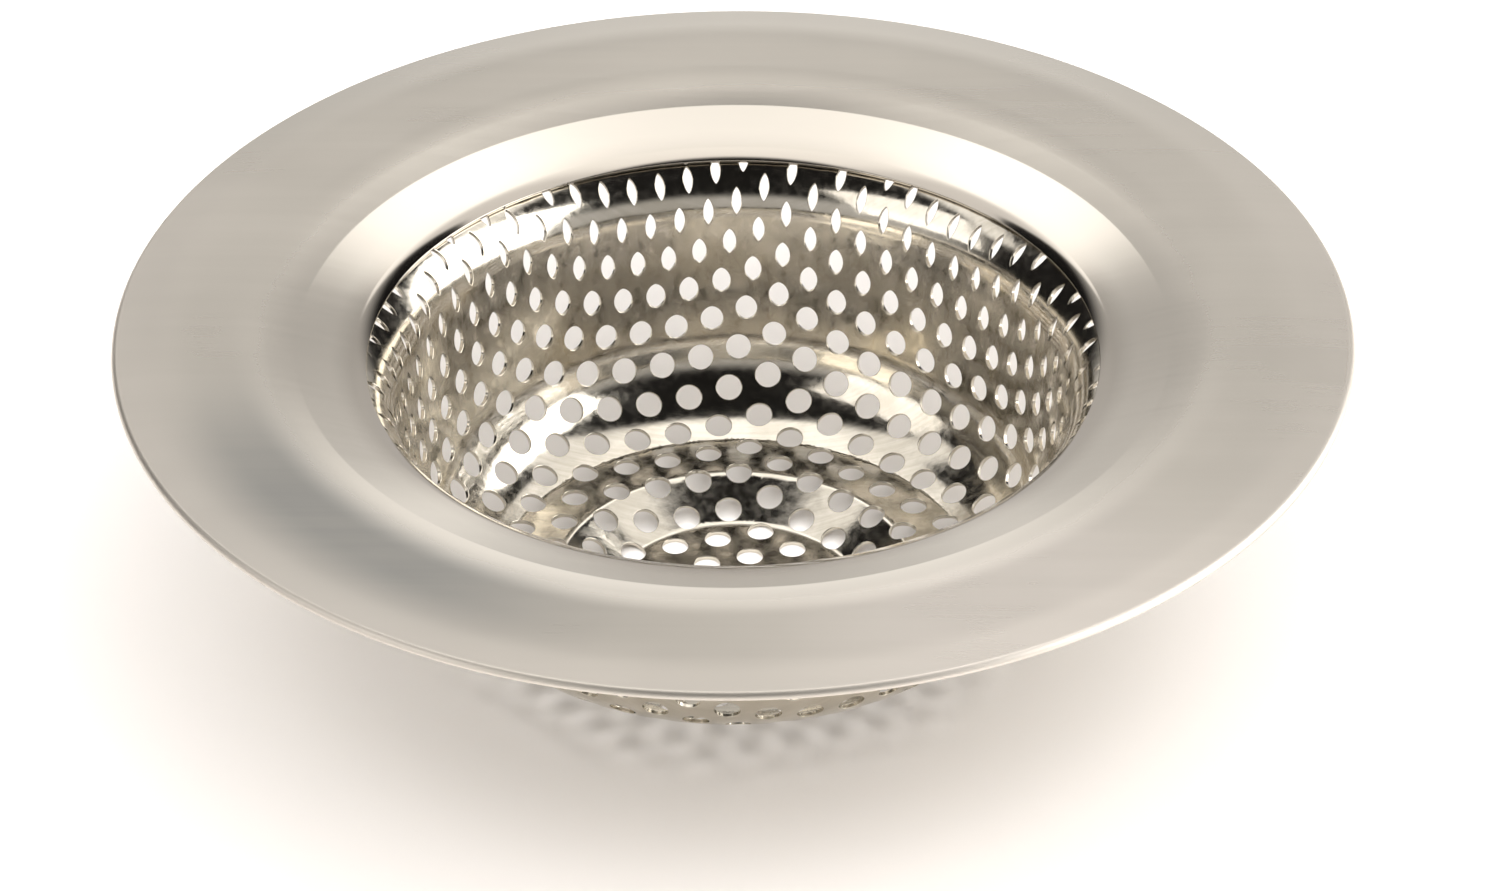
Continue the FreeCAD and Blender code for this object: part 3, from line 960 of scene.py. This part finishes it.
@dataclass(frozen=True)
class Studio:
    """Floor, soft panels and a pale backdrop.

    Attributes:
        floor_size: Side of the floor, in metres.
        paper: Colour of the floor.
        panels: The lights.
        sky: Brightness of the ceiling light.
        backdrop: Brightness of the far backdrop.
        strip: Extra brightness of the strip low down in the backdrop's middle.
        front: Brightness of the room in front and at the sides, low down.
        fill: Brightness that only matt surfaces receive, from low down, half way up and from overhead.
    """

    floor_size: float = 6.0
    paper: Colour = (0.93, 0.91, 0.895, 1.0)
    panels: tuple[Panel, ...] = (
        Panel("side_panel", (0.52, 0.02, 0.26), (0.0, 0.02, 0.03), (0.62, 0.50), 4.6, (1.0, 0.985, 0.965)),
        Panel("left_card", (-0.46, -0.22, 0.36), (0.0, 0.0, 0.03), (0.48, 0.38), 1.8, (1.0, 0.97, 0.94)),
    )
    sky: float = 1.85
    backdrop: float = 0.66
    strip: float = 0.60
    front: float = 0.6
    fill: tuple[float, float, float] = (0.31, 3.7, 0.8)

    def build(self) -> None:
        """Makes the floor, the lights and the surroundings."""
        self._floor()
        for panel in self.panels:
            panel.build()
        self._surroundings()
        bpy.context.scene.view_settings.view_transform = "Standard"

    def _floor(self) -> None:
        """A plain pale floor under the strainer."""
        half = self.floor_size / 2
        mesh = bpy.data.meshes.new("floor")
        corners = [(-half, -half, 0), (half, -half, 0), (half, half, 0), (-half, half, 0)]
        mesh.from_pydata(corners, [], [(0, 1, 2, 3)])
        floor = bpy.data.objects.new("floor", mesh)
        bpy.context.scene.collection.objects.link(floor)
        material = bpy.data.materials.new("paper")
        material.use_nodes = True
        sheet = NodeSheet(material.node_tree)
        shader = material.node_tree.nodes["Principled BSDF"]
        place = sheet.add("ShaderNodeTexCoord").outputs["Object"]
        noise = sheet.add("ShaderNodeTexNoise", {"Vector": place, "Scale": 9.0, "Detail": 2.0})
        paler = tuple(min(1.0, channel * 1.02) for channel in self.paper)
        tint = sheet.tint(noise.outputs[0], self.paper, paler)
        material.node_tree.links.new(tint, shader.inputs["Base Color"])
        shader.inputs["Roughness"].default_value = 0.9
        shader.inputs["Specular IOR Level"].default_value = 0.0
        mesh.materials.append(material)

    def _surroundings(self) -> None:
        """A room with a ceiling light, a pale backdrop behind the strainer and a fill for the floor."""
        world = bpy.data.worlds.new("studio")
        bpy.context.scene.world = world
        world.use_nodes = True
        world.cycles.sampling_method = "NONE"
        world.node_tree.nodes.clear()
        sheet = NodeSheet(world.node_tree)
        way = sheet.add("ShaderNodeTexCoord").outputs["Generated"]
        x, y, z = sheet.add("ShaderNodeSeparateXYZ", {0: way}).outputs
        level = sheet.math("SQRT", sheet.math("SUBTRACT", 1.0, sheet.math("POWER", z, 2.0)))
        facing = sheet.math("DIVIDE", y, sheet.math("MAXIMUM", level, 0.001))
        behind = sheet.math("ADD", self._ceiling(sheet, x, y, z), self._backdrop(sheet, x, z, facing))
        lower = sheet.spread(z, 0.34, 0.54, self.front, 0.0)
        before = sheet.math("MULTIPLY", lower, sheet.spread(facing, -0.6, 0.1, 1.0, 0.0))
        room = sheet.math("ADD", behind, before)
        matt = sheet.add("ShaderNodeLightPath").outputs["Is Diffuse Ray"]
        fill = sheet.math("MULTIPLY", self._floor_fill(sheet, z, facing), sheet.spread(x, -0.6, 0.6, 0.86, 1.2))
        strength = sheet.add("ShaderNodeMix", {0: matt, 2: room, 3: fill}, data_type="FLOAT").outputs[0]
        light = sheet.add("ShaderNodeBackground", {"Color": (1.0, 0.975, 0.95, 1.0), "Strength": strength})
        sheet.add("ShaderNodeOutputWorld", {"Surface": light.outputs[0]})

    def _ceiling(self, sheet: NodeSheet, x: Any, y: Any, z: Any) -> bpy.types.NodeSocket:
        """The ceiling light's brightness, which reaches lower down at the sides than in the middle."""
        far_edge = sheet.math("ADD", 0.45, sheet.math("MULTIPLY", sheet.math("POWER", x, 2.0), 2.9))
        inside = sheet.spread(sheet.math("SUBTRACT", far_edge, y), -0.03, 0.03, 0.0, self.sky)
        width = sheet.math("ABSOLUTE", x)
        middle = sheet.spread(width, 0.2, 0.34, 1.0, 0.72)
        ahead = sheet.math("MULTIPLY", sheet.spread(y, 0.0, 0.10, 0.0, 1.0), middle)
        beside = sheet.math("MAXIMUM", sheet.math("SUBTRACT", width, 0.33), 0.0)
        corner = sheet.math("MULTIPLY", beside, sheet.spread(y, 0.22, 0.45, 0.0, 1.8))
        above = sheet.spread(sheet.math("SUBTRACT", z, corner), 0.53, 0.61, 0.0, 1.0)
        return sheet.math("MULTIPLY", inside, sheet.math("MULTIPLY", ahead, above))

    def _backdrop(self, sheet: NodeSheet, x: Any, z: Any, facing: Any) -> bpy.types.NodeSocket:
        """The far backdrop's brightness, with a bright strip low down and a dark room beside it."""
        low = sheet.spread(z, 0.30, 0.52, self.backdrop + 0.12, self.backdrop)
        high = sheet.spread(z, 0.58, 0.72, 0.0, 0.28)
        aside = sheet.math("ABSOLUTE", sheet.math("SUBTRACT", x, 0.02))
        width = sheet.spread(aside, 0.08, 0.17, self.strip, 0.0)
        rise = sheet.spread(z, 0.06, 0.16, 0.0, 1.0)
        fall = sheet.spread(z, 0.38, 0.54, 1.0, 0.0)
        strip = sheet.math("MULTIPLY", width, sheet.math("MULTIPLY", rise, fall))
        pale = sheet.math("ADD", sheet.math("ADD", low, high), strip)
        across = sheet.spread(facing, 0.80, 0.925, 0.0, 1.0)
        under = sheet.spread(z, 0.80, 0.90, 1.0, 0.0)
        return sheet.math("ADD", sheet.math("MULTIPLY", pale, sheet.math("MULTIPLY", across, under)), 0.015)

    def _floor_fill(self, sheet: NodeSheet, z: Any, facing: Any) -> bpy.types.NodeSocket:
        """The brightness that the floor receives, strongest half way up and from in front."""
        low, middle, top = self.fill
        rise = sheet.spread(z, 0.48, 0.76, low, middle)
        front = sheet.math("MULTIPLY", rise, sheet.spread(facing, -0.3, 0.5, 1.0, 0.7))
        overhead = sheet.spread(z, 0.86, 0.97, 0.0, 1.0)
        return sheet.add("ShaderNodeMix", {0: overhead, 2: front, 3: top}, data_type="FLOAT").outputs[0]


@dataclass(frozen=True)
class PhotoCamera:
    """The camera, aimed from in front and above.

    Attributes:
        middle: Height of the brim's edge, which it turns about, in metres.
        distance: Distance to the brim's middle, in metres.
        elevation: Angle above the brim, in degrees.
        lens: Focal length for a sensor 36 mm wide, in millimetres.
        pan: Slope by which it looks to the right of the brim's middle.
        tilt: Slope by which it looks below the brim's middle.
        roll: Turn about its axis, in degrees.
    """

    middle: float = 0.03035
    distance: float = 0.750
    elevation: float = 33.3752
    lens: float = 196.0987
    pan: float = 0.0019521
    tilt: float = 0.0141321
    roll: float = -0.43589

    def build(self) -> bpy.types.Object:
        """Makes the camera and hands it to the scene."""
        data = bpy.data.cameras.new("camera")
        data.sensor_width, data.lens = 36.0, self.lens
        data.clip_start, data.clip_end = 0.01, 20.0
        camera = bpy.data.objects.new("camera", data)
        angle = math.radians(self.elevation)
        back = Vector((0, -math.cos(angle), math.sin(angle)))
        right = Vector((1, 0, 0))
        up = right.cross(-back)
        ahead = (-back + right * self.pan - up * self.tilt).normalized()
        right = ahead.cross(Vector((0, 0, 1))).normalized()
        up = right.cross(ahead)
        turn = Matrix((right, up, -ahead)).transposed() @ Matrix.Rotation(math.radians(self.roll), 3, "Z")
        place = Vector((0, 0, self.middle)) + back * self.distance
        camera.matrix_world = Matrix.Translation(place) @ turn.to_4x4()
        bpy.context.scene.collection.objects.link(camera)
        bpy.context.scene.camera = camera
        return camera


def main() -> None:
    """Builds the strainer and its studio, and reports each piece."""
    logging.basicConfig(level=logging.INFO, format="%(message)s")
    groups = SteelGroups.make()
    rim = RimFlange()
    rim_piece = rim.build()
    rim.dress(rim_piece, SatinSteel().material(groups))
    basket = StrainerBasket()
    basket_piece = basket.build()
    basket.dress(basket_piece, PolishedSteel().material(groups))
    weld_piece = SpotWelds().dress(WeldSteel().material(groups))
    for piece in (rim_piece, basket_piece, weld_piece):
        log.info("%s: %d faces", piece.name, len(piece.data.polygons))
    Studio().build()
    PhotoCamera().build()


if __name__ == "__main__":
    main()
